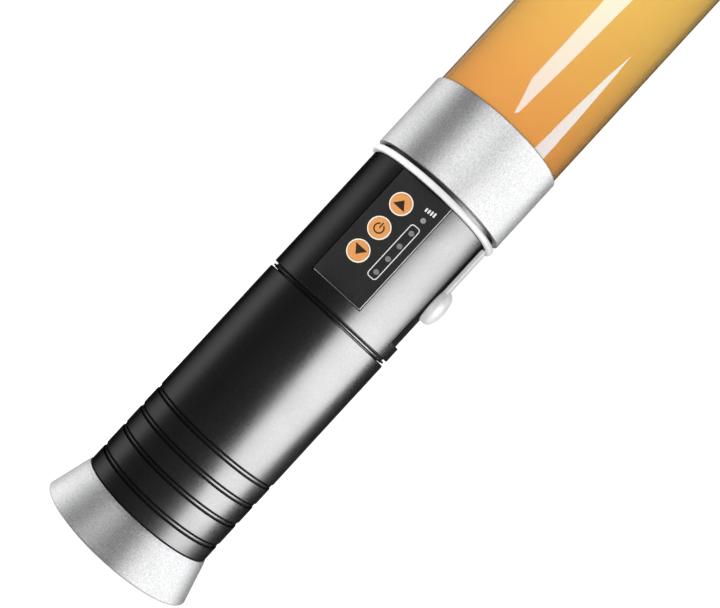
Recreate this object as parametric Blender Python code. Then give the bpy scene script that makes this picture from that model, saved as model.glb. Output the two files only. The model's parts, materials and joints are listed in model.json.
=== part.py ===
"""Hand-held LED light tube: battery grip, control housing, lamp tube and a slide-on amber filter sleeve.

It stands upright on its flared tail cap. The origin is the centre of the foot, +Z runs along the tube,
the control panel faces -Y and the charging port faces +X. Sizes below are in millimetres.
"""

import math

import bmesh
import bpy
from mathutils import Matrix, Vector

MM = 0.001

# ---------------------------------------------------------------- driving sizes
TOTAL_LENGTH = 520.0

FLARE_FOOT_R = 28.95  # widest point of the tail cap
FLARE_TOP_Z = 15.25
TAIL_BORE_R = 20.2
FOOT_PAD_R = 27.4
FOOT_PAD_T = 1.1

GRIP_R = 24.6
GRIP_BORE_R = 22.25
GRIP_Z = (15.55, 100.6)
GROOVE_Z = (21.8, 30.95, 39.15, 47.3)  # finger grooves at the low end of the grip
GROOVE_W = 1.75
GROOVE_D = 0.75

TRIPOD_HOLE_R = 3.175  # 1/4 inch thread, drawn as a plain hole at its outer diameter
TRIPOD_Z = (1.2, 11.6)

CELL_R = 9.2  # 18650 cells
CELL_LENGTH = 65.0
CELL_SPACING = 18.8
CELL_Z = 22.8

HOUSING_R = 24.6
HOUSING_BORE_R = 20.0
HOUSING_Z = (92.0, 160.2)
PARTING_Z = (100.85, 102.45)  # groove between grip and housing
PARTING_R = 23.85
NECK_R = 23.6
SHOULDER_Z = 150.3
RECESS_Z = 108.0  # low end of the panel pocket and of the port flat

PANEL_Y = -22.5  # outer face of the control panel
PANEL_T = 1.0
PANEL_HALF_W = 9.95
PANEL_Z = (108.3, 150.1)
POCKET_HALF_W = 10.2
POCKET_Y = -20.6
INNER_FLAT_Y = -19.9
GUIDE_Y = (-21.3, -20.8)

BUTTON_X = -2.98
BUTTON_Z = {"button_up": 141.5, "button_power": 131.4, "button_down": 121.8}
BUTTON_R = 3.3
BUTTON_FACE_Y = -22.75
BUTTON_TRAVEL = 0.5
LIGHT_RING_R = (3.45, 3.77)
PANEL_HOLE_R = 3.9

PIPE_X = 5.64  # indicator light pipes
PIPE_Z = (142.1, 136.7, 131.3, 126.0, 120.6)
PIPE_R = 0.92

PORT_FLAT_X = 22.7
PORT_Z = 126.5
PORT_HOLE_R = 3.6
PLUG_R = 6.6
PLUG_X = (23.0, 25.6, 28.0)  # inner face, rim, crown
STEM_R = 2.7
STEM_X = 20.4
STRAP_X = (23.2, 24.75)
STRAP_HALF_W = 4.25
HINGE_Z = 149.6

COVER_RING_R = (23.95, 26.2)
COVER_RING_Z = (150.7, 153.1)

COLLAR_R = 26.0
COLLAR_Z = (154.4, 182.4)
COLLAR_LEDGE_Z = (161.5, 163.5)
COLLAR_NECK_BORE_R = 23.85
COLLAR_SLEEVE_BORE_R = 25.35

SLEEVE_R = (23.7, 25.1)
SLEEVE_Z = (163.8, 517.0)
CAP_Z = (502.0, TOTAL_LENGTH)
CAP_FLOOR_Z = 517.3

DIFFUSER_R = (21.8, 23.3)
DIFFUSER_Z = (168.3, 508.0)
BAR_Z = (175.3, 499.0)
STRIP_Z = (178.0, 497.0)
LED_COUNT = 16

ROUND = 32  # sides of the large turned pieces
SMALL = 20

# ---------------------------------------------------------------- clean scene
for old in list(bpy.data.objects):
    bpy.data.objects.remove(old, do_unlink=True)


# ---------------------------------------------------------------- helpers
def finish_of(name, colour, roughness, metallic=0.0):
    mat = bpy.data.materials.new(name)
    mat.use_nodes = True
    shader = mat.node_tree.nodes["Principled BSDF"]
    shader.inputs["Base Color"].default_value = (*colour, 1.0)
    shader.inputs["Roughness"].default_value = roughness
    shader.inputs["Metallic"].default_value = metallic
    mat.diffuse_color = (*colour, 1.0)
    return mat


FINISH = {
    "silver": ((0.78, 0.79, 0.80), 0.38, 1.0),
    "black_shell": ((0.025, 0.025, 0.027), 0.42, 0.0),
    "panel": ((0.03, 0.03, 0.032), 0.6, 0.0),
    "button": ((0.86, 0.38, 0.10), 0.45, 0.0),
    "light_guide": ((0.90, 0.86, 0.76), 0.35, 0.0),
    "silicone": ((0.86, 0.86, 0.86), 0.5, 0.0),
    "rubber": ((0.03, 0.03, 0.03), 0.8, 0.0),
    "amber": ((0.80, 0.31, 0.06), 0.08, 0.0),
    "diffuser": ((0.93, 0.91, 0.87), 0.45, 0.0),
    "brass": ((0.78, 0.60, 0.28), 0.35, 1.0),
    "cell": ((0.10, 0.28, 0.42), 0.4, 0.0),
    "white_plastic": ((0.80, 0.80, 0.78), 0.5, 0.0),
    "nickel": ((0.70, 0.68, 0.62), 0.3, 1.0),
    "board": ((0.02, 0.16, 0.07), 0.45, 0.0),
    "white_board": ((0.85, 0.85, 0.82), 0.5, 0.0),
    "switch": ((0.05, 0.05, 0.05), 0.5, 0.0),
    "bare_aluminium": ((0.72, 0.73, 0.74), 0.4, 1.0),
    "steel": ((0.55, 0.56, 0.57), 0.3, 1.0),
    "red_wire": ((0.55, 0.03, 0.02), 0.5, 0.0),
    "black_wire": ((0.02, 0.02, 0.02), 0.5, 0.0),
    "white_wire": ((0.80, 0.80, 0.78), 0.5, 0.0),
}
for key, values in list(FINISH.items()):
    FINISH[key] = finish_of(key, *values)


def object_from(bm, name, finish=None, origin=(0.0, 0.0, 0.0), smooth=40.0):
    """Puts a bmesh drawn in millimetres, in world space, into an object whose own origin is at origin."""
    bmesh.ops.recalc_face_normals(bm, faces=bm.faces)
    mesh = bpy.data.meshes.new(name)
    bm.transform(Matrix.Scale(MM, 4) @ Matrix.Translation(-Vector(origin)))
    bm.to_mesh(mesh)
    bm.free()
    mesh.shade_smooth()
    mesh.set_sharp_from_angle(angle=math.radians(smooth))
    obj = bpy.data.objects.new(name, mesh)
    obj.location = Vector(origin) * MM
    bpy.context.scene.collection.objects.link(obj)
    if finish:
        mesh.materials.append(FINISH[finish])
    else:
        obj.hide_render = True
        obj.display_type = "WIRE"
    return obj


def turned(profile, sides=ROUND, closed=True, axis="Z", centre=(0.0, 0.0, 0.0)):
    """Spins a profile of (radius, height) points round an axis through centre. An open profile ends on the axis."""
    bm = bmesh.new()
    points = [bm.verts.new((r, 0.0, h)) for r, h in profile]
    pairs = list(zip(points, points[1:]))
    if closed:
        pairs.append((points[-1], points[0]))
    edges = [bm.edges.new(pair) for pair in pairs]
    bmesh.ops.spin(
        bm,
        geom=edges,
        cent=(0, 0, 0),
        axis=(0, 0, 1),
        angle=math.tau,
        steps=sides,
        use_merge=True,
        use_duplicate=False,
    )
    bmesh.ops.remove_doubles(bm, verts=bm.verts, dist=1e-4)
    turn = {
        "Z": Matrix.Identity(4),
        "X": Matrix.Rotation(math.pi / 2, 4, "Y"),  # height runs along +X
        "-Y": Matrix.Rotation(math.pi / 2, 4, "X"),  # height runs along -Y
    }[axis]
    bm.transform(Matrix.Translation(Vector(centre)) @ turn)
    return bm


def block(low, high):
    bm = bmesh.new()
    bmesh.ops.create_cube(bm, size=1.0)
    size = [b - a for a, b in zip(low, high)]
    middle = [(a + b) / 2 for a, b in zip(low, high)]
    bm.transform(
        Matrix.Translation(Vector(middle)) @ Matrix.Diagonal((*size, 1.0))
    )
    return bm


def extruded(outline, z_low, z_high):
    """A prism of the (x, y) outline."""
    bm = bmesh.new()
    face = bm.faces.new([bm.verts.new((x, y, z_low)) for x, y in outline])
    grown = bmesh.ops.extrude_face_region(bm, geom=[face])
    tops = [v for v in grown["geom"] if isinstance(v, bmesh.types.BMVert)]
    bmesh.ops.translate(bm, verts=tops, vec=(0, 0, z_high - z_low))
    return bm


def merged(*parts):
    """Several closed shapes in one bmesh, for use as one cutter or one joined tool."""
    total = bmesh.new()
    for part in parts:
        mesh = bpy.data.meshes.new("part")
        part.to_mesh(mesh)
        part.free()
        total.from_mesh(mesh)
        bpy.data.meshes.remove(mesh)
    return total


def rod(radius, low, high, axis, centre, sides=SMALL):
    return turned(
        [(0, low), (radius, low), (radius, high), (0, high)],
        sides,
        closed=False,
        axis=axis,
        centre=centre,
    )


def boolean(obj, tool_bm, operation, name):
    tool = object_from(tool_bm, name)
    modifier = obj.modifiers.new(name, "BOOLEAN")
    modifier.operation = operation
    modifier.solver = "EXACT"
    modifier.object = tool
    if operation == "UNION":
        tool.data.materials.append(obj.data.materials[0])
    return obj


def cut(obj, tool_bm, name):
    return boolean(obj, tool_bm, "DIFFERENCE", name)


def join(obj, tool_bm, name):
    return boolean(obj, tool_bm, "UNION", name)


def o_ring(name, ring_r, section_r, z, finish):
    profile = [
        (
            ring_r + section_r * math.cos(math.tau * k / 6),
            z + section_r * math.sin(math.tau * k / 6),
        )
        for k in range(6)
    ]
    return object_from(turned(profile), name, finish, smooth=75)


def wire(name, route, radius, finish, points=14):
    """A lead along a smooth curve through the route's points."""
    knots = [Vector(p) for p in route]
    knots = [2 * knots[0] - knots[1], *knots, 2 * knots[-1] - knots[-2]]
    dense = []
    spans = len(knots) - 3
    for k in range(points):
        place = k * spans / (points - 1)
        i = min(int(place), spans - 1)
        t = place - i
        a, b, c, d = knots[i : i + 4]
        dense.append(
            0.5
            * (
                2 * b
                + (c - a) * t
                + (2 * a - 5 * b + 4 * c - d) * t * t
                + (3 * b - a - 3 * c + d) * t**3
            )
        )
    curve = bpy.data.curves.new(name, "CURVE")
    curve.dimensions = "3D"
    curve.bevel_depth = radius * MM
    curve.bevel_resolution = 1
    curve.use_fill_caps = True
    spline = curve.splines.new("POLY")
    spline.points.add(len(dense) - 1)
    for point, place in zip(spline.points, dense):
        point.co = (*(place * MM), 1.0)
    curve.materials.append(FINISH[finish])
    obj = bpy.data.objects.new(name, curve)
    bpy.context.scene.collection.objects.link(obj)
    return obj


# ---------------------------------------------------------------- tail
object_from(
    turned(
        [
            (TAIL_BORE_R, 1.4),
            (FOOT_PAD_R + 0.3, 1.4),
            (FOOT_PAD_R + 0.3, 0.5),
            (FLARE_FOOT_R - 0.35, 0.5),
            (FLARE_FOOT_R, 0.85),
            (25.95, 11.8),
            (25.5, 13.9),
            (24.75, FLARE_TOP_Z),
            (TAIL_BORE_R, FLARE_TOP_Z),
        ]
    ),
    "tail_cap",
    "silver",
)
object_from(
    turned(
        [
            (5.2, 1.5),
            (TAIL_BORE_R - 0.3, 1.5),
            (TAIL_BORE_R - 0.3, GRIP_Z[0]),
            (22.0, GRIP_Z[0]),
            (22.0, 16.6),
            (21.0, 16.6),
            (21.0, 18.2),
            (22.0, 18.2),
            (22.0, 19.5),
            (5.2, 19.5),
        ]
    ),
    "tail_plug",
    "black_shell",
)
object_from(
    turned(
        [
            (7.0, 0.0),
            (FOOT_PAD_R - 0.3, 0.0),
            (FOOT_PAD_R, 0.3),
            (FOOT_PAD_R, FOOT_PAD_T),
            (7.0, FOOT_PAD_T),
        ]
    ),
    "foot_pad",
    "rubber",
)
object_from(
    turned(
        [
            (TRIPOD_HOLE_R, TRIPOD_Z[0]),
            (5.0, TRIPOD_Z[0]),
            (5.0, TRIPOD_Z[1]),
            (TRIPOD_HOLE_R, TRIPOD_Z[1]),
        ],
        24,
    ),
    "tripod_insert",
    "brass",
)
o_ring("tail_o_ring", 21.6, 0.42, 17.4, "rubber")

# ---------------------------------------------------------------- grip
grip = [(GRIP_BORE_R, GRIP_Z[0]), (GRIP_R - 0.2, GRIP_Z[0]), (GRIP_R, GRIP_Z[0] + 0.2)]
for z in GROOVE_Z:
    grip += [
        (GRIP_R, z - GROOVE_W / 2),
        (GRIP_R - GROOVE_D, z - GROOVE_W / 2 + 0.25),
        (GRIP_R - GROOVE_D, z + GROOVE_W / 2 - 0.25),
        (GRIP_R, z + GROOVE_W / 2),
    ]
grip += [(GRIP_R, GRIP_Z[1]), (GRIP_BORE_R, GRIP_Z[1])]
object_from(turned(grip), "grip_tube", "black_shell", smooth=30)

# ---------------------------------------------------------------- battery pack
pack_r = CELL_SPACING / math.sqrt(3)
for k in range(3):
    angle = math.radians(90 + 120 * k)
    object_from(
        turned(
            [
                (0, 0),
                (CELL_R - 0.5, 0),
                (CELL_R, 0.5),
                (CELL_R, CELL_LENGTH - 1.4),
                (CELL_R - 0.9, CELL_LENGTH - 0.7),
                (3.0, CELL_LENGTH - 0.7),
                (3.0, CELL_LENGTH),
                (0, CELL_LENGTH),
            ],
            SMALL,
            closed=False,
            centre=(pack_r * math.cos(angle), pack_r * math.sin(angle), CELL_Z),
        ),
        f"battery_cell_{k + 1}",
        "cell",
    )


def bus_outline(reach, half):
    """Three arms from the pack's middle to its cells, half wide each side."""
    outline = []
    inner = half / math.sin(math.radians(60))
    for k in range(3):
        angle = math.radians(90 + 120 * k)
        along = Vector((math.cos(angle), math.sin(angle)))
        across = Vector((-along.y, along.x))
        outline.append(along * reach - across * half)
        outline.append(along * reach + across * half)
        between = angle + math.radians(60)
        outline.append(Vector((math.cos(between), math.sin(between))) * inner)
    return [tuple(p) for p in outline]


object_from(extruded(bus_outline(14.5, 3.0), 22.0, 22.5), "bus_plate_lower", "nickel")
object_from(extruded(bus_outline(14.5, 3.0), 88.1, 88.6), "bus_plate_upper", "nickel")
object_from(
    turned(
        [
            (0, 20.0),
            (21.8, 20.0),
            (21.8, 26.0),
            (20.5, 26.0),
            (20.5, 21.7),
            (0, 21.7),
        ],
        closed=False,
    ),
    "battery_holder_lower",
    "white_plastic",
)
object_from(
    turned(
        [
            (5.5, 88.9),
            (20.5, 88.9),
            (20.5, 84.5),
            (21.8, 84.5),
            (21.8, 90.6),
            (5.5, 90.6),
        ]
    ),
    "battery_holder_upper",
    "white_plastic",
)
board = object_from(
    rod(18.6, 92.6, 93.8, "Z", (0, 0, 0), ROUND), "protection_board", "board"
)
join(board, block((-6, 5, 93.5), (6, 12, 96.0)), "protection_chip")

# ---------------------------------------------------------------- control housing
housing = object_from(
    turned(
        [
            (HOUSING_BORE_R, HOUSING_Z[0]),
            (22.0, HOUSING_Z[0]),
            (22.0, PARTING_Z[0]),
            (PARTING_R, PARTING_Z[0]),
            (PARTING_R, PARTING_Z[1]),
            (HOUSING_R - 0.15, PARTING_Z[1]),
            (HOUSING_R, PARTING_Z[1] + 0.15),
            (HOUSING_R, SHOULDER_Z),
            (NECK_R, SHOULDER_Z),
            (NECK_R, HOUSING_Z[1]),
            (HOUSING_BORE_R, HOUSING_Z[1]),
        ]
    ),
    "control_housing",
    "black_shell",
    smooth=30,
)
cut(
    housing,
    block((PORT_FLAT_X, -14, RECESS_Z), (32, 14, 152.0)),
    "cut_port_flat",
)
cut(
    housing,
    block((-POCKET_HALF_W, -32, RECESS_Z), (POCKET_HALF_W, POCKET_Y, 150.6)),
    "cut_panel_pocket",
)
cut(
    housing,
    block((-9.4, INNER_FLAT_Y, 110.0), (9.4, -10.0, 149.0)),
    "cut_inner_flat",
)
POSTS = ((0.8, 114.0), (2.6, 146.4))
join(
    housing,
    merged(*[rod(1.8, 16.2, 20.2, "-Y", (x, 0, z), 12) for x, z in POSTS]),
    "board_posts",
)
cut(
    housing,
    merged(
        *[rod(3.5, 18.0, 22.5, "-Y", (BUTTON_X, 0, z)) for z in BUTTON_Z.values()],
        *[rod(0.8, 18.0, 22.5, "-Y", (PIPE_X, 0, z), 8) for z in PIPE_Z],
        *[rod(1.1, 14.0, 19.3, "-Y", (x, 0, z), 12) for x, z in POSTS],
        rod(PORT_HOLE_R, 17.0, 24.5, "X", (0, 0, PORT_Z)),
    ),
    "cut_holes",
)

panel = object_from(
    block(
        (-PANEL_HALF_W, PANEL_Y, PANEL_Z[0]),
        (PANEL_HALF_W, PANEL_Y + PANEL_T, PANEL_Z[1]),
    ),
    "control_panel",
    "panel",
)
cut(
    panel,
    merged(
        *[
            rod(PANEL_HOLE_R, 20.5, 23.5, "-Y", (BUTTON_X, 0, z))
            for z in BUTTON_Z.values()
        ],
        *[rod(PIPE_R + 0.13, 20.5, 23.5, "-Y", (PIPE_X, 0, z), 12) for z in PIPE_Z],
    ),
    "cut_panel_holes",
)

guide = object_from(
    block((-9.7, GUIDE_Y[0], 108.5), (9.7, GUIDE_Y[1], 149.9)),
    "light_guide",
    "light_guide",
)
join(
    guide,
    merged(
        *[
            rod(LIGHT_RING_R[1], 21.0, 22.6, "-Y", (BUTTON_X, 0, z))
            for z in BUTTON_Z.values()
        ],
        *[rod(PIPE_R, 21.0, 22.55, "-Y", (PIPE_X, 0, z), 12) for z in PIPE_Z],
    ),
    "guide_rings",
)
cut(
    guide,
    merged(
        *[
            rod(LIGHT_RING_R[0], 19.5, 24.0, "-Y", (BUTTON_X, 0, z))
            for z in BUTTON_Z.values()
        ]
    ),
    "cut_guide",
)

for name, z in BUTTON_Z.items():
    depth = -BUTTON_FACE_Y
    button = turned(
        [
            (0, 18.6),
            (1.0, 18.6),
            (1.0, 19.2),
            (3.9, 19.2),
            (3.9, 19.7),
            (BUTTON_R, 19.7),
            (BUTTON_R, depth - 0.25),
            (BUTTON_R - 0.35, depth - 0.06),
            (0, depth),
        ],
        SMALL,
        closed=False,
        axis="-Y",
        centre=(BUTTON_X, 0, z),
    )
    object_from(button, name, "button", origin=(BUTTON_X, BUTTON_FACE_Y, z))
    switch = object_from(
        block((BUTTON_X - 2.1, -17.5, z - 2.1), (BUTTON_X + 2.1, -16.15, z + 2.1)),
        name.replace("button", "switch"),
        "switch",
    )
    join(
        switch, rod(1.0, 17.2, 18.0, "-Y", (BUTTON_X, 0, z), 10), name + "_switch_pin"
    )

control_board = object_from(
    block((-8.8, -15.85, 111.2), (8.8, -14.65, 148.2)), "control_board", "board"
)
cut(
    control_board,
    merged(*[rod(1.25, 13.5, 17.0, "-Y", (x, 0, z), 12) for x, z in POSTS]),
    "cut_board_holes",
)
join(
    control_board,
    merged(
        block((-6.5, -14.9, 124.0), (1.5, -13.4, 132.0)),
        block((-5.0, -14.9, 136.0), (5.0, -12.6, 141.0)),
    ),
    "board_chips",
)
for k, (x, z) in enumerate(POSTS):
    object_from(
        turned(
            [(0, 13.2), (1.7, 13.2), (1.7, 14.4), (0.9, 14.4), (0.9, 18.9), (0, 18.9)],
            12,
            closed=False,
            axis="-Y",
            centre=(x, 0, z),
        ),
        f"board_screw_{k + 1}",
        "steel",
    )

object_from(
    turned(
        [(0.95, 9.3), (4.4, 9.3), (4.4, 19.2), (2.9, 19.2), (2.9, 11.0), (0.95, 11.0)],
        12,
        axis="X",
        centre=(0, 0, PORT_Z),
    ),
    "charging_socket",
    "switch",
)
object_from(
    rod(0.65, 9.3, 18.6, "X", (0, 0, PORT_Z), 8), "charging_pin", "nickel"
)
object_from(block((7.6, -7.5, 113.5), (9.0, 7.5, 146.0)), "charge_board", "board")

# ---------------------------------------------------------------- port cover
object_from(
    turned(
        [
            (COVER_RING_R[0], COVER_RING_Z[0] + 0.3),
            (COVER_RING_R[0] + 0.4, COVER_RING_Z[0]),
            (COVER_RING_R[1] - 0.7, COVER_RING_Z[0]),
            (COVER_RING_R[1], COVER_RING_Z[0] + 0.7),
            (COVER_RING_R[1], COVER_RING_Z[1] - 0.7),
            (COVER_RING_R[1] - 0.7, COVER_RING_Z[1]),
            (COVER_RING_R[0], COVER_RING_Z[1]),
        ]
    ),
    "cover_ring",
    "silicone",
    smooth=50,
)
hinge_x = (STRAP_X[0] + STRAP_X[1]) / 2
strap_half_t = (STRAP_X[1] - STRAP_X[0]) / 2
rounding = [
    (
        hinge_x + strap_half_t * math.cos(math.pi * k / 6),
        HINGE_Z + strap_half_t * math.sin(math.pi * k / 6),
    )
    for k in range(7)
]
side = [(STRAP_X[1], PORT_Z), *rounding, (STRAP_X[0], PORT_Z)]
strap = bmesh.new()
face = strap.faces.new([strap.verts.new((x, -STRAP_HALF_W, z)) for x, z in side])
grown = bmesh.ops.extrude_face_region(strap, geom=[face])
bmesh.ops.translate(
    strap,
    verts=[v for v in grown["geom"] if isinstance(v, bmesh.types.BMVert)],
    vec=(0, 2 * STRAP_HALF_W, 0),
)
cover = object_from(
    turned(
        [
            (0, STEM_X),
            (STEM_R - 0.3, STEM_X),
            (STEM_R, STEM_X + 0.4),
            (STEM_R, PLUG_X[0]),
            (PLUG_R - 0.3, PLUG_X[0]),
            (PLUG_R, PLUG_X[0] + 0.3),
            (PLUG_R, PLUG_X[1]),
            (PLUG_R * 0.86, PLUG_X[1] + 1.1),
            (PLUG_R * 0.58, PLUG_X[1] + 1.85),
            (PLUG_R * 0.28, PLUG_X[2] - 0.1),
            (0, PLUG_X[2]),
        ],
        24,
        closed=False,
        axis="X",
        centre=(0, 0, PORT_Z),
    ),
    "port_cover",
    "silicone",
    origin=(hinge_x, 0, HINGE_Z),
    smooth=50,
)
join(cover, strap, "cover_strap")

# ---------------------------------------------------------------- collar and lamp head
object_from(
    turned(
        [
            (COLLAR_NECK_BORE_R, COLLAR_Z[0]),
            (COLLAR_R - 0.25, COLLAR_Z[0]),
            (COLLAR_R, COLLAR_Z[0] + 0.25),
            (COLLAR_R, COLLAR_Z[1] - 0.7),
            (COLLAR_R - 0.2, COLLAR_Z[1] - 0.2),
            (COLLAR_R - 0.45, COLLAR_Z[1]),
            (COLLAR_SLEEVE_BORE_R, COLLAR_Z[1]),
            (COLLAR_SLEEVE_BORE_R, COLLAR_LEDGE_Z[1]),
            (20.9, COLLAR_LEDGE_Z[1]),
            (20.9, COLLAR_LEDGE_Z[0]),
            (COLLAR_NECK_BORE_R, COLLAR_LEDGE_Z[0]),
        ]
    ),
    "collar",
    "silver",
)
object_from(
    turned([(21.2, 160.5), (23.4, 160.5), (23.4, 161.2), (21.2, 161.2)]),
    "collar_gasket",
    "rubber",
)
head = object_from(
    turned(
        [
            (0, 161.3),
            (20.6, 161.3),
            (20.6, 163.8),
            (23.0, 163.8),
            (23.0, 168.0),
            (DIFFUSER_R[0] - 0.3, 168.0),
            (DIFFUSER_R[0] - 0.3, 175.0),
            (0, 175.0),
        ],
        closed=False,
    ),
    "lamp_base",
    "white_plastic",
)
cut(
    head,
    merged(
        rod(1.8, 158, 178, "Z", (0, -7.0, 0), 14),
        rod(1.8, 158, 178, "Z", (0, 7.0, 0), 14),
    ),
    "cut_lead_holes",
)

bar = object_from(
    extruded(
        [
            (-10, -6),
            (10, -6),
            (10, -4.4),
            (3.6, -4.4),
            (3.6, 4.4),
            (10, 4.4),
            (10, 6),
            (-10, 6),
            (-10, 4.4),
            (-3.6, 4.4),
            (-3.6, -4.4),
            (-10, -4.4),
        ],
        *BAR_Z,
    ),
    "heatsink_bar",
    "bare_aluminium",
)
cut(bar, rod(1.7, 485, 501, "Z", (0, 0, 0), 12), "cut_bar_end")
for name, way in (("led_strip_front", -1), ("led_strip_back", 1)):
    y = sorted((way * 6.25, way * 7.6))
    strip = object_from(
        block((-8, y[0], STRIP_Z[0]), (8, y[1], STRIP_Z[1])), name, "white_board"
    )
    step = (STRIP_Z[1] - STRIP_Z[0]) / LED_COUNT
    leds = []
    for k in range(LED_COUNT):
        z = STRIP_Z[0] + step * (k + 0.5)
        y = sorted((way * 7.4, way * 8.5))
        leds.append(block((-2.5, y[0], z - 2.5), (2.5, y[1], z + 2.5)))
    join(strip, merged(*leds), name + "_leds")

object_from(
    turned(
        [
            (DIFFUSER_R[0], DIFFUSER_Z[0]),
            (DIFFUSER_R[1], DIFFUSER_Z[0]),
            (DIFFUSER_R[1], DIFFUSER_Z[1]),
            (DIFFUSER_R[0], DIFFUSER_Z[1]),
        ]
    ),
    "diffuser_tube",
    "diffuser",
)
object_from(
    turned(
        [
            (1.8, 500.5),
            (DIFFUSER_R[0] - 0.3, 500.5),
            (DIFFUSER_R[0] - 0.3, 508.3),
            (23.0, 508.3),
            (23.0, 511.6),
            (22.6, 512.0),
            (1.8, 512.0),
        ]
    ),
    "lamp_end_plug",
    "black_shell",
)
object_from(
    turned(
        [(0, 487.0), (1.4, 487.0), (1.4, 512.3), (3.2, 512.3), (3.2, 514.2), (0, 514.2)],
        12,
        closed=False,
    ),
    "end_screw",
    "steel",
)

# ---------------------------------------------------------------- filter sleeve
object_from(
    turned(
        [
            (SLEEVE_R[0], SLEEVE_Z[0]),
            (SLEEVE_R[1], SLEEVE_Z[0]),
            (SLEEVE_R[1], SLEEVE_Z[1]),
            (SLEEVE_R[0], SLEEVE_Z[1]),
        ]
    ),
    "filter_sleeve",
    "amber",
)
object_from(
    turned(
        [
            (25.35, CAP_Z[0]),
            (25.75, CAP_Z[0]),
            (COLLAR_R, CAP_Z[0] + 0.25),
            (COLLAR_R, CAP_Z[1] - 1.2),
            (COLLAR_R - 0.4, CAP_Z[1] - 0.4),
            (COLLAR_R - 1.2, CAP_Z[1]),
            (0, CAP_Z[1]),
            (0, CAP_FLOOR_Z),
            (25.35, CAP_FLOOR_Z),
        ],
    ),
    "filter_cap",
    "silver",
)

# ---------------------------------------------------------------- leads inside
wire(
    "battery_lead_red",
    [(4, 0, 94.3), (4, 0, 100), (3, -6, 108), (2, -12.2, 115), (2, -13.7, 118)],
    0.8,
    "red_wire",
)
wire(
    "battery_lead_black",
    [(-4, 0, 94.3), (-4, 0, 100), (-4, -6, 108), (-4, -12.2, 115), (-4, -13.7, 118)],
    0.8,
    "black_wire",
)
wire(
    "lamp_lead_front",
    [(-3, -13.6, 146.6), (-3, -12, 150.5), (-1, -8.5, 156), (0, -7.0, 162), (0, -7.0, 170), (0, -7.0, 177.6)],
    0.8,
    "white_wire",
)
wire(
    "lamp_lead_back",
    [(-5, -13.2, 134.2), (-5, -8, 139), (-4.5, 0, 147), (-2, 5.5, 155), (0, 7.0, 162), (0, 7.0, 170), (0, 7.0, 177.6)],
    0.8,
    "white_wire",
    20,
)
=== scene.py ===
"""Looks for the hand-held LED light tube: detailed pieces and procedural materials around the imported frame."""

import json
import math

import bmesh
import bpy
from mathutils import Matrix, Vector


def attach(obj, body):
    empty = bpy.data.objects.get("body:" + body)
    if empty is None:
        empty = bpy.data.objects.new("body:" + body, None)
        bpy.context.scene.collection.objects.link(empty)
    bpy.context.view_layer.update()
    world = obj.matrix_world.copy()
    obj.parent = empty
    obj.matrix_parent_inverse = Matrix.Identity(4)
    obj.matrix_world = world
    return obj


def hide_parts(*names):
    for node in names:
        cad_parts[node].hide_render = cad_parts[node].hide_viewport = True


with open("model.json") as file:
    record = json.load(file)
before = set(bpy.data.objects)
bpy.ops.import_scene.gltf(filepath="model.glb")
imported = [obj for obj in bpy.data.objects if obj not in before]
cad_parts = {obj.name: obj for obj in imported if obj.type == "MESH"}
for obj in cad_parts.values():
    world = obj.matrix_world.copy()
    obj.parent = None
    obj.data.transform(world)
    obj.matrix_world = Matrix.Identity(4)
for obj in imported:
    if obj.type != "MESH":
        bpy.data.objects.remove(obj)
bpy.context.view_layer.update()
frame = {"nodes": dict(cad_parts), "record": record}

MM = 0.001
NODES = frame["nodes"]
SCENE = bpy.context.scene
ROUND = 256


# ---------------------------------------------------------------- mesh helpers
def mesh_object(name, bm, sharp=32.0):
    """A new object from a bmesh: faces smooth, edges steeper than sharp degrees kept crisp."""
    bmesh.ops.remove_doubles(bm, verts=bm.verts[:], dist=1e-7)
    bmesh.ops.recalc_face_normals(bm, faces=bm.faces[:])
    for face in bm.faces:
        face.smooth = True
    limit = math.radians(sharp)
    for edge in bm.edges:
        if len(edge.link_faces) == 2 and edge.calc_face_angle(0.0) > limit:
            edge.smooth = False
    mesh = bpy.data.meshes.new(name)
    bm.to_mesh(mesh)
    bm.free()
    obj = bpy.data.objects.new(name, mesh)
    SCENE.collection.objects.link(obj)
    return obj


def held(profile, keep=0.12):
    """The profile with a support point close to each end of every long straight side."""
    out = []
    n = len(profile)
    for i in range(n):
        a = Vector(profile[i])
        b = Vector(profile[(i + 1) % n])
        out.append(tuple(a))
        length = (b - a).length
        if length > 6 * keep:
            out.append(tuple(a + (b - a) * (keep / length)))
            out.append(tuple(b + (a - b) * (keep / length)))
    return out


def softened(profile, radii, steps=4):
    """The closed profile with the corners named in radii {index: radius} rounded by arcs."""
    out = []
    n = len(profile)
    for i, here in enumerate(profile):
        r = radii.get(i, 0.0)
        p = Vector(here)
        if not r:
            out.append(tuple(p))
            continue
        a = (Vector(profile[i - 1]) - p).normalized()
        b = (Vector(profile[(i + 1) % n]) - p).normalized()
        half = a.angle(b) / 2
        back = min(r / math.tan(half), 1e9)
        centre = p + (a + b).normalized() * (r / math.sin(half))
        start, end = p + a * back, p + b * back
        for k in range(steps + 1):
            t = k / steps
            q = start.lerp(end, t) - centre
            out.append(tuple(centre + q.normalized() * r))
    return out


AXES = {
    "Z": lambda r, h, c, s: (r * c, r * s, h),
    "X": lambda r, h, c, s: (h, r * c, r * s),
    "-Y": lambda r, h, c, s: (r * c, -h, r * s),
}


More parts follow.
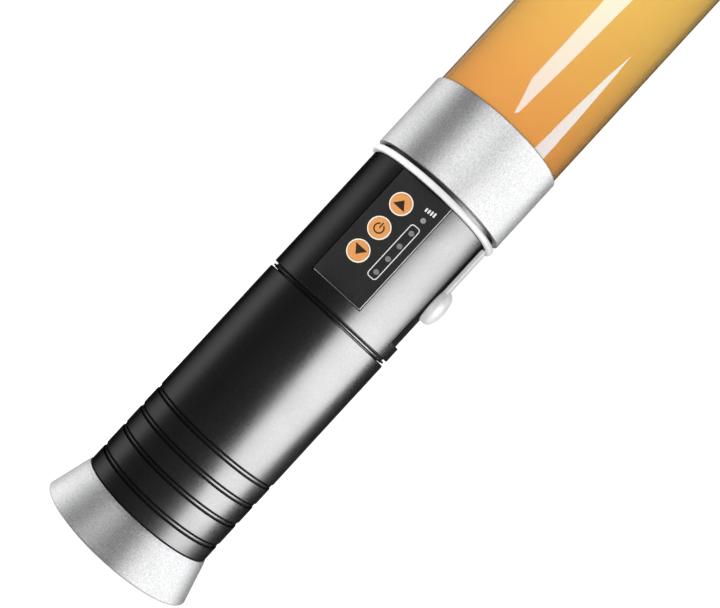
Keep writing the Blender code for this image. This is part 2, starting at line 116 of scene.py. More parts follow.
def lathe(profile, sides=ROUND, axis="Z", centre=(0, 0, 0), closed=True):
    """Profile of (radius, height) points in millimetres, swept round an axis into a closed body."""
    bm = bmesh.new()
    place = AXES[axis]
    rings = []
    for r, h in profile:
        if r < 1e-6:
            x, y, z = place(0.0, h, 1.0, 0.0)
            rings.append([bm.verts.new(((x + centre[0]) * MM, (y + centre[1]) * MM, (z + centre[2]) * MM))])
            continue
        ring = []
        for k in range(sides):
            t = 2 * math.pi * k / sides
            x, y, z = place(r, h, math.cos(t), math.sin(t))
            ring.append(bm.verts.new(((x + centre[0]) * MM, (y + centre[1]) * MM, (z + centre[2]) * MM)))
        rings.append(ring)
    pairs = list(zip(rings, rings[1:]))
    if closed:
        pairs.append((rings[-1], rings[0]))
    for a, b in pairs:
        if len(a) == 1 and len(b) == 1:
            continue
        for k in range(sides):
            j = (k + 1) % sides
            if len(a) == 1:
                bm.faces.new((a[0], b[j], b[k]))
            elif len(b) == 1:
                bm.faces.new((a[k], a[j], b[0]))
            else:
                bm.faces.new((a[k], a[j], b[j], b[k]))
    return bm


def brick(low, high):
    bm = bmesh.new()
    bmesh.ops.create_cube(bm, size=1.0)
    for v in bm.verts:
        v.co = Vector([(low[i] + (v.co[i] + 0.5) * (high[i] - low[i])) * MM for i in range(3)])
    return bm


def trimmed(obj, bm, how="DIFFERENCE"):
    """Applies one boolean to obj with the closed body in bm."""
    tool = mesh_object("tool", bm)
    mod = obj.modifiers.new("bool", "BOOLEAN")
    mod.operation = how
    mod.solver = "EXACT"
    mod.object = tool
    bpy.context.view_layer.update()
    made = bpy.data.meshes.new_from_object(obj.evaluated_get(bpy.context.evaluated_depsgraph_get()))
    obj.modifiers.clear()
    obj.data = made
    bpy.data.objects.remove(tool)


def recut(obj, sharp=32.0):
    """Sets smooth faces and crisp edges again after booleans."""
    bm = bmesh.new()
    bm.from_mesh(obj.data)
    bmesh.ops.remove_doubles(bm, verts=bm.verts[:], dist=2e-7)
    bmesh.ops.dissolve_degenerate(bm, dist=2e-7, edges=bm.edges[:])
    limit = math.radians(sharp)
    for face in bm.faces:
        face.smooth = True
    for edge in bm.edges:
        edge.smooth = not (len(edge.link_faces) == 2 and edge.calc_face_angle(0.0) > limit)
    bm.to_mesh(obj.data)
    bm.free()


def rounded_outline(x0, z0, x1, z1, r, steps=8):
    points = []
    for cx, cz, start in ((x1 - r, z1 - r, 0), (x0 + r, z1 - r, 90), (x0 + r, z0 + r, 180), (x1 - r, z0 + r, 270)):
        for k in range(steps + 1):
            t = math.radians(start + 90 * k / steps)
            points.append((cx + r * math.cos(t), cz + r * math.sin(t)))
    return points


def ring_outline(x, z, r, steps=96):
    return [(x + r * math.cos(2 * math.pi * k / steps), z + r * math.sin(2 * math.pi * k / steps)) for k in range(steps)]


def plate(name, loops, front, back, bevel=0.0, steps=3):
    """Flat plate facing -Y. loops are closed (x, z) outlines in millimetres, the holes included; front and back are y."""
    curve = bpy.data.curves.new(name, "CURVE")
    curve.dimensions = "2D"
    curve.fill_mode = "BOTH"
    for loop in loops:
        spline = curve.splines.new("POLY")
        spline.points.add(len(loop) - 1)
        for point, (x, z) in zip(spline.points, loop):
            point.co = (x, z, 0, 1)
        spline.use_cyclic_u = True
    curve.extrude = (back - front) / 2 - bevel
    curve.bevel_depth = bevel
    curve.bevel_resolution = steps
    curve.offset = -bevel
    temp = bpy.data.objects.new(name + "_curve", curve)
    SCENE.collection.objects.link(temp)
    bpy.context.view_layer.update()
    mesh = bpy.data.meshes.new_from_object(temp.evaluated_get(bpy.context.evaluated_depsgraph_get()))
    bpy.data.objects.remove(temp)
    bm = bmesh.new()
    bm.from_mesh(mesh)
    turn = Matrix(((1, 0, 0, 0), (0, 0, -1, (front + back) / 2), (0, 1, 0, 0), (0, 0, 0, 1)))
    bm.transform(Matrix.Scale(MM, 4) @ turn)
    return mesh_object(name, bm, 40)


def joined(name, parts):
    """One object from several objects that share a material."""
    bm = bmesh.new()
    for part in parts:
        bm.from_mesh(part.data)
        bpy.data.objects.remove(part)
    mesh = bpy.data.meshes.new(name)
    bm.to_mesh(mesh)
    bm.free()
    obj = bpy.data.objects.new(name, mesh)
    SCENE.collection.objects.link(obj)
    return obj


# ---------------------------------------------------------------- materials
class Nodes:
    """A small writer for one material's node tree."""

    def __init__(self, name):
        self.material = bpy.data.materials.new(name)
        self.material.use_nodes = True
        self.tree = self.material.node_tree
        self.shader = self.tree.nodes["Principled BSDF"]
        self.output = self.tree.nodes["Material Output"]
        self.coords = self.tree.nodes.new("ShaderNodeTexCoord")

    def new(self, kind, **values):
        node = self.tree.nodes.new(kind)
        for key, value in values.items():
            if hasattr(node, key):
                setattr(node, key, value)
            else:
                node.inputs[key.replace("_", " ")].default_value = value
        return node

    def link(self, a, b):
        self.tree.links.new(a, b)

    def stretched(self, scale):
        mapping = self.new("ShaderNodeMapping")
        mapping.inputs["Scale"].default_value = scale
        self.link(self.coords.outputs["Object"], mapping.inputs["Vector"])
        return mapping.outputs["Vector"]

    def noise(self, scale, detail=3.0, roughness=0.55, vector=None, distortion=0.0):
        node = self.new("ShaderNodeTexNoise")
        node.inputs["Scale"].default_value = scale
        node.inputs["Detail"].default_value = detail
        node.inputs["Roughness"].default_value = roughness
        node.inputs["Distortion"].default_value = distortion
        self.link(vector or self.coords.outputs["Object"], node.inputs["Vector"])
        return node.outputs["Fac"]

    def ramp(self, fac, stops):
        node = self.new("ShaderNodeValToRGB")
        elements = node.color_ramp.elements
        while len(elements) < len(stops):
            elements.new(0.5)
        for element, (position, colour) in zip(elements, stops):
            element.position = position
            element.color = (*colour, 1) if len(colour) == 3 else colour
        self.link(fac, node.inputs["Fac"])
        return node.outputs["Color"]

    def between(self, fac, low, high, start=0.3, end=0.7):
        node = self.new("ShaderNodeMapRange")
        node.inputs["From Min"].default_value = start
        node.inputs["From Max"].default_value = end
        node.inputs["To Min"].default_value = low
        node.inputs["To Max"].default_value = high
        self.link(fac, node.inputs["Value"])
        return node.outputs["Result"]

    def maths(self, how, a, b):
        node = self.new("ShaderNodeMath", operation=how)
        for k, value in enumerate((a, b)):
            if isinstance(value, (int, float)):
                node.inputs[k].default_value = value
            else:
                self.link(value, node.inputs[k])
        return node.outputs[0]

    def bump(self, height, strength, distance, before=None):
        node = self.new("ShaderNodeBump")
        node.inputs["Strength"].default_value = strength
        node.inputs["Distance"].default_value = distance
        self.link(height, node.inputs["Height"])
        if before is not None:
            self.link(before, node.inputs["Normal"])
        return node.outputs["Normal"]

    def set(self, **values):
        for key, value in values.items():
            socket = self.shader.inputs[key.replace("_", " ")]
            if hasattr(value, "is_output") or isinstance(value, bpy.types.NodeSocket):
                self.link(value, socket)
            else:
                socket.default_value = value
        return self


def tone(colour, factor):
    return tuple(min(1.0, c * factor) for c in colour)


def grained(name, colour, rough, spread=0.1, mottle=0.06, grain=1800.0, grain_strength=0.12, grain_depth=0.00004, broad=60.0, **extra):
    """A finish with mottled colour, varied roughness and a fine grain in its surface."""
    n = Nodes(name)
    soft = n.noise(broad, 4.0)
    fine = n.noise(grain, 3.0, 0.6)
    mixed = n.maths("ADD", n.maths("MULTIPLY", soft, 0.5), n.maths("MULTIPLY", fine, 0.5))
    n.set(
        Base_Color=n.ramp(mixed, [(0.3, tone(colour, 1 - mottle)), (0.7, tone(colour, 1 + mottle))]),
        Roughness=n.between(mixed, max(0.02, rough - spread / 2), rough + spread / 2),
        Normal=n.bump(fine, grain_strength, grain_depth),
        **extra,
    )
    return n.material


def blasted_silver():
    """Bead-blasted, clear-anodised aluminium."""
    n = Nodes("blasted_silver")
    coarse = n.noise(1750.0, 2.0, 0.75)
    fine = n.noise(2600.0, 2.0, 0.6)
    soft = n.noise(70.0, 3.0)
    grain = n.maths("ADD", n.maths("MULTIPLY", coarse, 0.65), n.maths("MULTIPLY", fine, 0.35))
    n.set(
        Base_Color=n.ramp(grain, [(0.34, (0.55, 0.555, 0.565)), (0.5, (0.735, 0.738, 0.745)), (0.66, (0.91, 0.91, 0.915))]),
        Metallic=1.0,
        Roughness=n.between(n.maths("ADD", n.maths("MULTIPLY", soft, 0.5), n.maths("MULTIPLY", coarse, 0.5)), 0.36, 0.50),
        Normal=n.bump(grain, 0.75, 0.00011),
    )
    return n.material


def black_shell():
    """Satin black anodised shell with a fine even texture."""
    n = Nodes("black_shell")
    coarse = n.noise(1200.0, 2.0, 0.65)
    fine = n.noise(3200.0, 2.0, 0.6)
    soft = n.noise(45.0, 4.0)
    grain = n.maths("ADD", n.maths("MULTIPLY", coarse, 0.6), n.maths("MULTIPLY", fine, 0.4))
    n.set(
        Base_Color=n.ramp(grain, [(0.3, (0.100, 0.100, 0.102)), (0.7, (0.135, 0.134, 0.135))]),
        Metallic=1.0,
        Specular_Tint=(0.12, 0.12, 0.12, 1),
        Roughness=n.between(n.maths("ADD", n.maths("MULTIPLY", soft, 0.6), n.maths("MULTIPLY", coarse, 0.4)), 0.24, 0.36),
        Normal=n.bump(grain, 0.22, 0.00004),
    )
    return n.material


def panel_film():
    """Matt charcoal control film with a leather-fine print texture."""
    n = Nodes("panel_film")
    coarse = n.noise(1500.0, 2.0, 0.7)
    fine = n.noise(3600.0, 2.0, 0.6)
    grain = n.maths("ADD", n.maths("MULTIPLY", coarse, 0.6), n.maths("MULTIPLY", fine, 0.4))
    soft = n.noise(120.0, 3.0)
    n.set(
        Base_Color=n.ramp(n.maths("ADD", n.maths("MULTIPLY", grain, 0.7), n.maths("MULTIPLY", soft, 0.3)), [(0.3, (0.013, 0.013, 0.013)), (0.7, (0.025, 0.025, 0.025))]),
        Roughness=n.between(grain, 0.42, 0.58),
        Specular_IOR_Level=0.32,
        Normal=n.bump(grain, 0.25, 0.00003),
    )
    return n.material


def amber_sleeve():
    """Amber acrylic that scatters a little: a tinted glass with a share of coloured haze."""
    n = Nodes("amber_acrylic")
    fine = n.noise(900.0, 2.0, 0.5)
    long = n.noise(28.0, 3.0, 0.5, vector=n.stretched((1.0, 1.0, 0.25)))
    split = n.new("ShaderNodeSeparateXYZ")
    n.link(n.coords.outputs["Object"], split.inputs["Vector"])
    # painted shade: the base colour is darker and redder just above the collar, from 0.18 to 0.26 m up
    height = n.maths("ADD", n.between(split.outputs["Z"], 0.0, 1.0, 0.18, 0.26), n.maths("MULTIPLY", long, 0.06))
    n.set(
        Base_Color=n.ramp(height, [(0.0, (0.885, 0.49, 0.15)), (0.2, (0.89, 0.525, 0.162)), (0.7, (0.91, 0.665, 0.208)), (1.0, (0.925, 0.685, 0.218))]),
        Transmission_Weight=0.75,
        IOR=1.49,
        Roughness=n.between(fine, 0.005, 0.03),
        Normal=n.bump(long, 0.06, 0.0004),
        Coat_Weight=1.0,
        Coat_IOR=1.6,
        Coat_Roughness=0.012,
    )
    clear = n.new("ShaderNodeBsdfTransparent")
    clear.inputs["Color"].default_value = (0.93, 0.76, 0.42, 1)
    path = n.new("ShaderNodeLightPath")
    mix = n.new("ShaderNodeMixShader")
    n.link(path.outputs["Is Shadow Ray"], mix.inputs["Fac"])
    n.link(n.shader.outputs["BSDF"], mix.inputs[1])
    n.link(clear.outputs["BSDF"], mix.inputs[2])
    n.link(mix.outputs["Shader"], n.output.inputs["Surface"])
    depth = n.new("ShaderNodeVolumeAbsorption")
    depth.inputs["Color"].default_value = (0.97, 0.95, 0.90, 1)
    depth.inputs["Density"].default_value = 900.0
    n.link(depth.outputs["Volume"], n.output.inputs["Volume"])
    return n.material


def silicone():
    n = Nodes("silicone")
    soft = n.noise(260.0, 3.0)
    fine = n.noise(1500.0, 2.0)
    n.set(
        Base_Color=n.ramp(soft, [(0.3, (0.67, 0.67, 0.66)), (0.7, (0.74, 0.74, 0.735))]),
        Roughness=n.between(fine, 0.34, 0.48),
        Normal=n.bump(fine, 0.08, 0.00003),
        Subsurface_Weight=0.25,
        Subsurface_Radius=(1.0, 0.9, 0.8),
        Subsurface_Scale=0.0015,
    )
    return n.material


def frosted():
    """Frosted white acrylic, painted darker and warmer at its low end: painted shade near the collar and a painted
    reflection of the amber colour the sleeve throws back.
    """
    n = Nodes("frosted_acrylic")
    fine = n.noise(1200.0, 3.0)
    split = n.new("ShaderNodeSeparateXYZ")
    n.link(n.coords.outputs["Object"], split.inputs["Vector"])
    soft = n.maths("MULTIPLY", n.noise(18.0, 4.0), 0.03)
    # painted shade and painted reflection: the colour is darker and warmer towards the collar, from 0.178 to 0.262 m
    # up
    height = n.maths("ADD", n.between(split.outputs["Z"], 0.0, 1.0, 0.178, 0.262), soft)
    n.set(
        Base_Color=n.ramp(height, [(0.0, (0.79, 0.59, 0.46)), (0.06, (0.82, 0.64, 0.52)), (0.286, (0.88, 0.82, 0.74)), (0.43, (0.90, 0.88, 0.84)), (0.7, (0.92, 0.92, 0.90))]),
        Roughness=n.between(fine, 0.44, 0.56),
        Normal=n.bump(fine, 0.1, 0.00003),
    )
    return n.material


def wrap(name, colour, rough=0.35):
    return grained(name, colour, rough, 0.12, 0.08, 600.0, 0.08, 0.00003, 40.0)


M = {
    "silver": blasted_silver(),
    "black": black_shell(),
    "panel": panel_film(),
    "amber": amber_sleeve(),
    "silicone": silicone(),
    "diffuser": frosted(),
    "orange": grained("orange_key", (0.67, 0.285, 0.075), 0.32, 0.1, 0.05, 1400.0, 0.06, 0.00002, 300.0, Coat_Weight=0.35, Coat_Roughness=0.15),
    "cream": grained("key_rim", (0.88, 0.77, 0.66), 0.3, 0.08, 0.03, 1400.0, 0.05, 0.00002, 300.0, Subsurface_Weight=0.1, Subsurface_Scale=0.0005),
    "glyph": grained("key_print", (0.035, 0.017, 0.011), 0.45, 0.1, 0.15, 2200.0, 0.06, 0.00002, 400.0),
    "print": grained("white_print", (0.66, 0.66, 0.655), 0.5, 0.1, 0.05, 2400.0, 0.1, 0.00002, 500.0),
    "pipe": grained("light_pipe", (0.182, 0.178, 0.172), 0.35, 0.1, 0.12, 1800.0, 0.1, 0.00002, 700.0),
    "pipe_pale": grained("light_pipe_pale", (0.25, 0.245, 0.235), 0.35, 0.1, 0.12, 1800.0, 0.1, 0.00002, 700.0),
    # near-black for slit floors: painted shade, not the metal's own colour
    "slit_shade": grained("slit_painted_shade", (0.006, 0.006, 0.006), 0.7, 0.1, 0.2, 1300.0, 0.2, 0.00004, 90.0, Specular_IOR_Level=0.2),
    # light grey for the panel's right and bottom edges: a painted highlight where they catch the light
    "painted_edge_highlight": grained("painted_edge_highlight", (0.42, 0.42, 0.42), 0.3, 0.1, 0.1, 1500.0, 0.08, 0.00002, 120.0),
    "rubber": grained("black_rubber", (0.018, 0.018, 0.018), 0.62, 0.14, 0.2, 1300.0, 0.3, 0.00005, 90.0),
    "brass": grained("brass", (0.72, 0.52, 0.22), 0.3, 0.12, 0.1, 900.0, 0.12, 0.00003, 90.0, Metallic=1.0),
    "nickel": grained("nickel", (0.66, 0.64, 0.60), 0.28, 0.1, 0.08, 800.0, 0.1, 0.00002, 90.0, Metallic=1.0),
    "steel": grained("steel", (0.56, 0.56, 0.57), 0.3, 0.12, 0.1, 800.0, 0.12, 0.00002, 90.0, Metallic=1.0),
    "bare": grained("bare_aluminium", (0.74, 0.745, 0.755), 0.4, 0.14, 0.08, 500.0, 0.15, 0.00003, 60.0, Metallic=1.0),
    "plastic": grained("white_plastic", (0.74, 0.74, 0.72), 0.45, 0.12, 0.04, 900.0, 0.1, 0.00003, 60.0),
    "switch": grained("black_plastic", (0.022, 0.022, 0.024), 0.4, 0.14, 0.2, 900.0, 0.14, 0.00003, 80.0),
    "board": grained("circuit_board", (0.020, 0.115, 0.050), 0.38, 0.14, 0.35, 420.0, 0.2, 0.00003, 150.0),
    "led_board": grained("led_board", (0.72, 0.72, 0.70), 0.35, 0.12, 0.08, 420.0, 0.12, 0.00003, 90.0),
    "wrap": wrap("cell_wrap", (0.10, 0.16, 0.42)),
    "red": wrap("red_wire", (0.55, 0.03, 0.025), 0.42),
    "dark": wrap("black_wire", (0.02, 0.02, 0.02), 0.42),
    "white": wrap("white_wire", (0.70, 0.70, 0.68), 0.42),
}
SLOT_FINISH = {
    "silver_aluminium": "silver",
    "black_rubber": "rubber",
    "brass": "brass",
    "black_shell": "black",
    "cell_wrap": "wrap",
    "white_plastic": "plastic",
    "nickel_strip": "nickel",
    "circuit_board": "board",
    "red_wire": "red",
    "black_wire": "dark",
    "white_wire": "white",
    "panel_film": "panel",
    "light_guide": "cream",
    "orange_button": "orange",
    "switch_black": "switch",
    "steel": "steel",
    "silicone": "silicone",
    "bare_aluminium": "bare",
    "led_board": "led_board",
    "diffuser": "diffuser",
    "amber_filter": "amber",
}


def finished(obj, finish, body, *replaced, slot=None):
    obj.data.materials.clear()
    obj.data.materials.append(M[finish])
    for polygon in obj.data.polygons:
        polygon.material_index = 0
    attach(obj, body)
    if replaced:
        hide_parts(*replaced)
    return obj


# carried-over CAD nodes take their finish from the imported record's slots
for part in frame["record"]["subparts"]:
    if part["node"] in NODES:
        for holder in NODES[part["node"]].material_slots:
            holder.material = M[SLOT_FINISH[part["material_slot"]]]

# ---------------------------------------------------------------- tail cap and grip
flare = softened(
    [
        (20.2, 1.4),
        (27.7, 1.4),
        (27.7, 0.5),
        (28.95, 0.5),
        (28.95, 1.0),
        (27.45, 6.3),
        (25.95, 11.8),
        (25.35, 13.9),
        (24.75, 15.25),
        (20.2, 15.25),
    ],
    {2: 0.15, 3: 0.3, 4: 0.2, 6: 6.0, 7: 3.0, 8: 0.15},
)
SILVER = [finished(mesh_object("tail_flare", lathe(held(flare)), 35), "silver", "handle", "tail_cap")]

GROOVES = (21.8, 30.95, 39.15, 47.3)
grip = [(22.25, 15.55), (24.4, 15.55), (24.6, 15.75)]
for z in GROOVES:
    grip += [
        (24.6, z - 1.05),
        (24.5, z - 0.99),
        (23.6, z - 0.93),
        (23.6, z - 0.44),
        (24.14, z - 0.36),
        (24.26, z - 0.26),
        (24.26, z + 0.26),
        (24.14, z + 0.36),
        (23.6, z + 0.44),
        (23.6, z + 0.93),
        (24.5, z + 0.99),
        (24.6, z + 1.05),
    ]
grip += [(24.6, 100.3), (24.35, 100.6), (22.25, 100.6)]
grip_shell = mesh_object("grip_shell", lathe(held(grip)), 28)
finished(grip_shell, "black", "handle", "grip_tube")


def shaded(obj, radius, low, high):
    """Paints the floors of narrow slits near-black, as painted shade for the dark lines of the slits."""
    obj.data.materials.append(M["slit_shade"])
    for polygon in obj.data.polygons:
        c = polygon.center
        if math.hypot(c.x, c.y) < radius * MM and low * MM < c.z < high * MM:
            polygon.material_index = 1


# painted shade: the deep slits in the grip's grooves painted near-black
shaded(grip_shell, 23.95, 16.0, 60.0)

# ---------------------------------------------------------------- control housing
BUTTON_X = -2.98
BUTTONS = {"button_up": 141.5, "button_power": 131.4, "button_down": 121.8}
PIPE_X = 5.64
PIPES = (142.1, 136.7, 131.3, 126.0, 120.6)
PORT_Z = 126.5

shell = mesh_object(
    "housing_shell",
    lathe(
        held(
            softened(
                [
                    (20.0, 92.0),
                    (22.0, 92.0),
                    (22.0, 100.85),
                    (23.3, 100.85),
                    (23.3, 101.1),
                    (24.05, 101.1),
                    (24.05, 101.75),
                    (23.2, 101.75),
                    (23.2, 102.5),
                    (24.6, 102.5),
                    (24.6, 150.62),
                    (23.6, 150.62),
                    (23.6, 160.2),
                    (20.0, 160.2),
                ],
                {5: 0.25, 6: 0.2, 9: 0.2, 10: 0.15},
                3,
            )
        )
    ),
)
trimmed(shell, brick((22.7, -14, 108.0), (32, 14, 152.0)))
trimmed(shell, brick((-10.2, -32, 108.0), (10.2, -20.6, 150.68)))
trimmed(shell, brick((-9.4, -19.9, 110.0), (9.4, -10.0, 149.0)))
for z in BUTTONS.values():
    trimmed(shell, lathe([(0, 18.0), (3.5, 18.0), (3.5, 22.5), (0, 22.5)], 64, "-Y", (BUTTON_X, 0, z), False))
for z in PIPES:
    trimmed(shell, lathe([(0, 18.0), (0.8, 18.0), (0.8, 22.5), (0, 22.5)], 24, "-Y", (PIPE_X, 0, z), False))
trimmed(shell, lathe([(0, 17.0), (3.6, 17.0), (3.6, 24.5), (0, 24.5)], 64, "X", (0, 0, PORT_Z), False))
recut(shell, 24)
edge = shell.modifiers.new("edges", "BEVEL")
edge.width = 0.12 * MM
edge.segments = 2
edge.limit_method = "ANGLE"
edge.angle_limit = math.radians(40)
edge.harden_normals = True
finished(shell, "black", "handle", "control_housing")
# painted shade: the slit round the housing's foot painted near-black
shaded(shell, 23.4, 100.9, 102.4)

# ---------------------------------------------------------------- control panel
rim_bm = bmesh.new()
loops = []
for inset, y in ((0.0, -21.5), (0.0, -22.22), (0.28, -22.5), (0.6, -22.5), (0.6, -21.5)):
    outline = rounded_outline(-9.95 + inset, 108.3 + inset, 9.95 - inset, 150.65 - inset, max(0.5 - inset, 0.08), 4)
    loops.append([rim_bm.verts.new((x * MM, y * MM, z * MM)) for x, z in outline])
for a, b in zip(loops, [*loops[1:], loops[0]]):
    for k in range(len(a)):
        j = (k + 1) % len(a)
        rim_bm.faces.new((a[k], a[j], b[j], b[k]))
panel_rim = mesh_object("panel_rim", rim_bm, 20)
panel_face = plate(
    "panel_face",
    [rounded_outline(-9.35, 108.9, 9.35, 150.05, 0.08, 4)]
    + [ring_outline(BUTTON_X, z, 3.86) for z in BUTTONS.values()]
    + [ring_outline(PIPE_X, z, 1.0, 48) for z in PIPES],
    -22.5,
    -21.5,
)
panel = joined("panel_plate", [panel_rim, panel_face])
finished(panel, "panel", "handle", "control_panel")
# painted highlight: the small right and bottom edge faces of the panel take the light grey
panel.data.materials.append(M["painted_edge_highlight"])
for polygon in panel.data.polygons:
    n, c = polygon.normal, polygon.center
    if n.y < -0.2 and (n.x > 0.5 or n.z < -0.5) and c.y < -22.2 * MM and polygon.area < 2e-5:
        if c.x > 9.6 * MM or (c.z < 108.65 * MM and c.x > -8.2 * MM):
            polygon.material_index = 1

rims = []
for key, z in BUTTONS.items():
    rims.append(
        mesh_object(
            key + "_rim",
            lathe(
                held(softened([(3.36, 20.9), (3.8, 20.9), (3.8, 22.62), (3.36, 22.62)], {2: 0.16, 3: 0.12})),
                96,
                "-Y",
                (BUTTON_X, 0, z),
            ),
        )
    )
backing = plate("guide_plate", [rounded_outline(-9.7, 108.5, 9.7, 149.9, 0.3, 3)] + [ring_outline(BUTTON_X, z, 3.45) for z in BUTTONS.values()], -21.25, -20.85, 0.05, 1)
finished(joined("key_rims", [*rims, backing]), "cream", "handle", "light_guide")
dots = [
    mesh_object(
        f"pipe_{k}",
        lathe(softened([(0, 21.0), (0.92, 21.0), (0.92, 22.56), (0, 22.62)], {2: 0.12}, 3), 48, "-Y", (PIPE_X, 0, z), False),
    )
    for k, z in enumerate(PIPES)
]
pipes = joined("status_pipes", dots)
finished(pipes, "pipe", "handle", slot="light_guide")
pipes.data.materials.append(M["pipe_pale"])
for polygon in pipes.data.polygons:
    if polygon.center.z > 139.5 * MM:
        polygon.material_index = 1

frame_line = plate(
    "status_frame",
    [rounded_outline(3.62, 118.1, 7.33, 139.4, 1.15), rounded_outline(3.92, 118.4, 7.03, 139.1, 0.9)],
    -22.535,
    -22.47,
    0.012,
    1,
)
finished(frame_line, "print", "handle", slot="white_plastic")
bars = []
for k in range(4):
    x = 3.79 + k * 1.02
    bars.append(plate(f"bar_{k}", [rounded_outline(x, 144.6 + 0.09 * k, x + 0.62, 145.95 + 0.17 * k, 0.16, 4)], -22.535, -22.47, 0.012, 1))
finished(joined("level_bars", bars), "print", "handle", slot="white_plastic")


# ---------------------------------------------------------------- keys
def key(name, z, body):
    cap = mesh_object(
        name + "_cap",
        lathe(
            held(
                softened(
                    [
                        (0, 18.6),
                        (1.0, 18.6),
                        (1.0, 19.2),
                        (3.9, 19.2),
                        (3.9, 19.7),
                        (3.3, 19.7),
                        (3.3, 22.6),
                        (1.6, 22.72),
                        (0, 22.75),
                    ],
                    {6: 0.22},
                    4,
                )
            ),
            96,
            "-Y",
            (BUTTON_X, 0, z),
            False,
        ),
    )
    finished(cap, "orange", body, name)
    return cap


def triangle(x, z, half, height, up):
    s = 1 if up else -1
    return [(x - half, z - s * height / 2), (x + half, z - s * height / 2), (x, z + s * height / 2)]


key("button_up", BUTTONS["button_up"], "up_key")
key("button_power", BUTTONS["button_power"], "power_key")
key("button_down", BUTTONS["button_down"], "down_key")
CROWN = (-22.765, -22.62)
finished(plate("up_mark", [triangle(BUTTON_X + 0.05, 141.55, 2.25, 2.9, True)], *CROWN, 0.01, 1), "glyph", "up_key", slot="switch_black")
finished(plate("down_mark", [triangle(BUTTON_X + 0.05, 121.85, 2.25, 2.9, False)], *CROWN, 0.01, 1), "glyph", "down_key", slot="switch_black")
arc = []
POWER_Z = 131.25
for k in range(49):
    t = math.radians(90 + 24 + (360 - 48) * k / 48)
    arc.append((BUTTON_X + 1.78 * math.cos(t), POWER_Z + 1.78 * math.sin(t)))
for k in range(49):
    t = math.radians(90 + 24 + (360 - 48) * (48 - k) / 48)
    arc.append((BUTTON_X + 1.34 * math.cos(t), POWER_Z + 1.34 * math.sin(t)))
stem = rounded_outline(BUTTON_X - 0.21, POWER_Z + 0.1, BUTTON_X + 0.21, POWER_Z + 2.15, 0.15, 3)
finished(
    joined("power_mark", [plate("power_arc", [arc], *CROWN, 0.01, 1), plate("power_stem", [stem], *CROWN, 0.01, 1)]),
    "glyph",
    "power_key",
    slot="switch_black",
)

# ---------------------------------------------------------------- silicone ring and port cover
ring_bm = lathe(
    held(softened([(23.95, 150.85), (26.2, 150.85), (26.2, 152.95), (23.95, 152.95)], {0: 0.3, 1: 0.75, 2: 0.75, 3: 0.3}, 6), 0.1)
)
for v in ring_bm.verts:
    t = math.atan2(v.co.y, v.co.x)
    v.co.z += MM * (-0.12 * math.cos(t) - 0.05 * math.cos(2 * t))
finished(mesh_object("silicone_ring", ring_bm, 60), "silicone", "handle", "cover_ring")

plug = mesh_object(
    "port_plug",
    lathe(
        [
            (0, 20.4),
            (2.4, 20.4),
            (2.7, 20.8),
            (2.7, 23.0),
            (6.2, 23.0),
            (6.5, 23.15),
            (6.6, 23.45),
            (6.6, 25.3),
            (6.45, 25.75),
            (6.1, 26.3),
            (5.5, 26.85),
            (4.6, 27.3),
            (3.4, 27.65),
            (1.9, 27.9),
            (0, 28.0),
        ],
        96,
        "X",
        (0, 0, PORT_Z),
        False,
    ),
)
strap_side = [(23.2, PORT_Z), (23.2, 149.6)]
for k in range(13):
    t = math.pi * (1 - k / 12)
    strap_side.append((23.975 + 0.775 * math.cos(t), 149.6 + 0.775 * math.sin(t)))
strap_side.append((24.75, PORT_Z))
strap = bmesh.new()
front = [strap.verts.new((x * MM, -4.25 * MM, z * MM)) for x, z in strap_side]
back = [strap.verts.new((x * MM, 4.25 * MM, z * MM)) for x, z in strap_side]
strap.faces.new(front)
strap.faces.new(back[::-1])
for k in range(len(front)):
    j = (k + 1) % len(front)
    strap.faces.new((front[k], back[k], back[j], front[j]))
trimmed(plug, strap, "UNION")
remesh = plug.modifiers.new("blend", "REMESH")
remesh.mode = "VOXEL"
remesh.voxel_size = 0.2 * MM
smooth = plug.modifiers.new("soft", "SMOOTH")
smooth.factor = 0.5
smooth.iterations = 6
bpy.context.view_layer.update()
plug.data = bpy.data.meshes.new_from_object(plug.evaluated_get(bpy.context.evaluated_depsgraph_get()))
plug.modifiers.clear()
for polygon in plug.data.polygons:
    polygon.use_smooth = True
finished(plug, "silicone", "cover", "port_cover")

# ---------------------------------------------------------------- collar, sleeve and end cap
collar = softened(
    [
        (23.85, 154.4),
        (26.0, 154.4),
        (26.0, 182.4),
        (25.35, 182.4),
        (25.35, 163.5),
        (20.9, 163.5),
        (20.9, 161.5),
        (23.85, 161.5),
    ],
    {0: 0.15, 1: 0.28, 2: 0.45, 3: 0.12},
    5,
)
SILVER.append(finished(mesh_object("collar_sleeve", lathe(held(collar)), 35), "silver", "handle", "collar"))

tube = softened([(23.7, 163.8), (25.1, 163.8), (25.1, 517.0), (23.7, 517.0)], {0: 0.2, 1: 0.2, 2: 0.2, 3: 0.2}, 3)
finished(mesh_object("amber_tube", lathe(held(tube)), 35), "amber", "filter", "filter_sleeve")

inner = softened([(21.8, 168.3), (23.3, 168.3), (23.3, 508.0), (21.8, 508.0)], {0: 0.2, 1: 0.2, 2: 0.2, 3: 0.2}, 3)
finished(mesh_object("white_tube", lathe(held(inner)), 35), "diffuser", "handle", "diffuser_tube")

cap = softened(
    [
        (25.35, 502.0),
        (26.0, 502.0),
        (26.0, 520.0),
        (0, 520.0),
        (0, 517.3),
        (25.35, 517.3),
    ],
    {0: 0.1, 1: 0.2, 2: 1.4},
    6,
)
SILVER.append(finished(mesh_object("end_cap", lathe(held(cap), closed=False), 35), "silver", "filter", "filter_cap"))

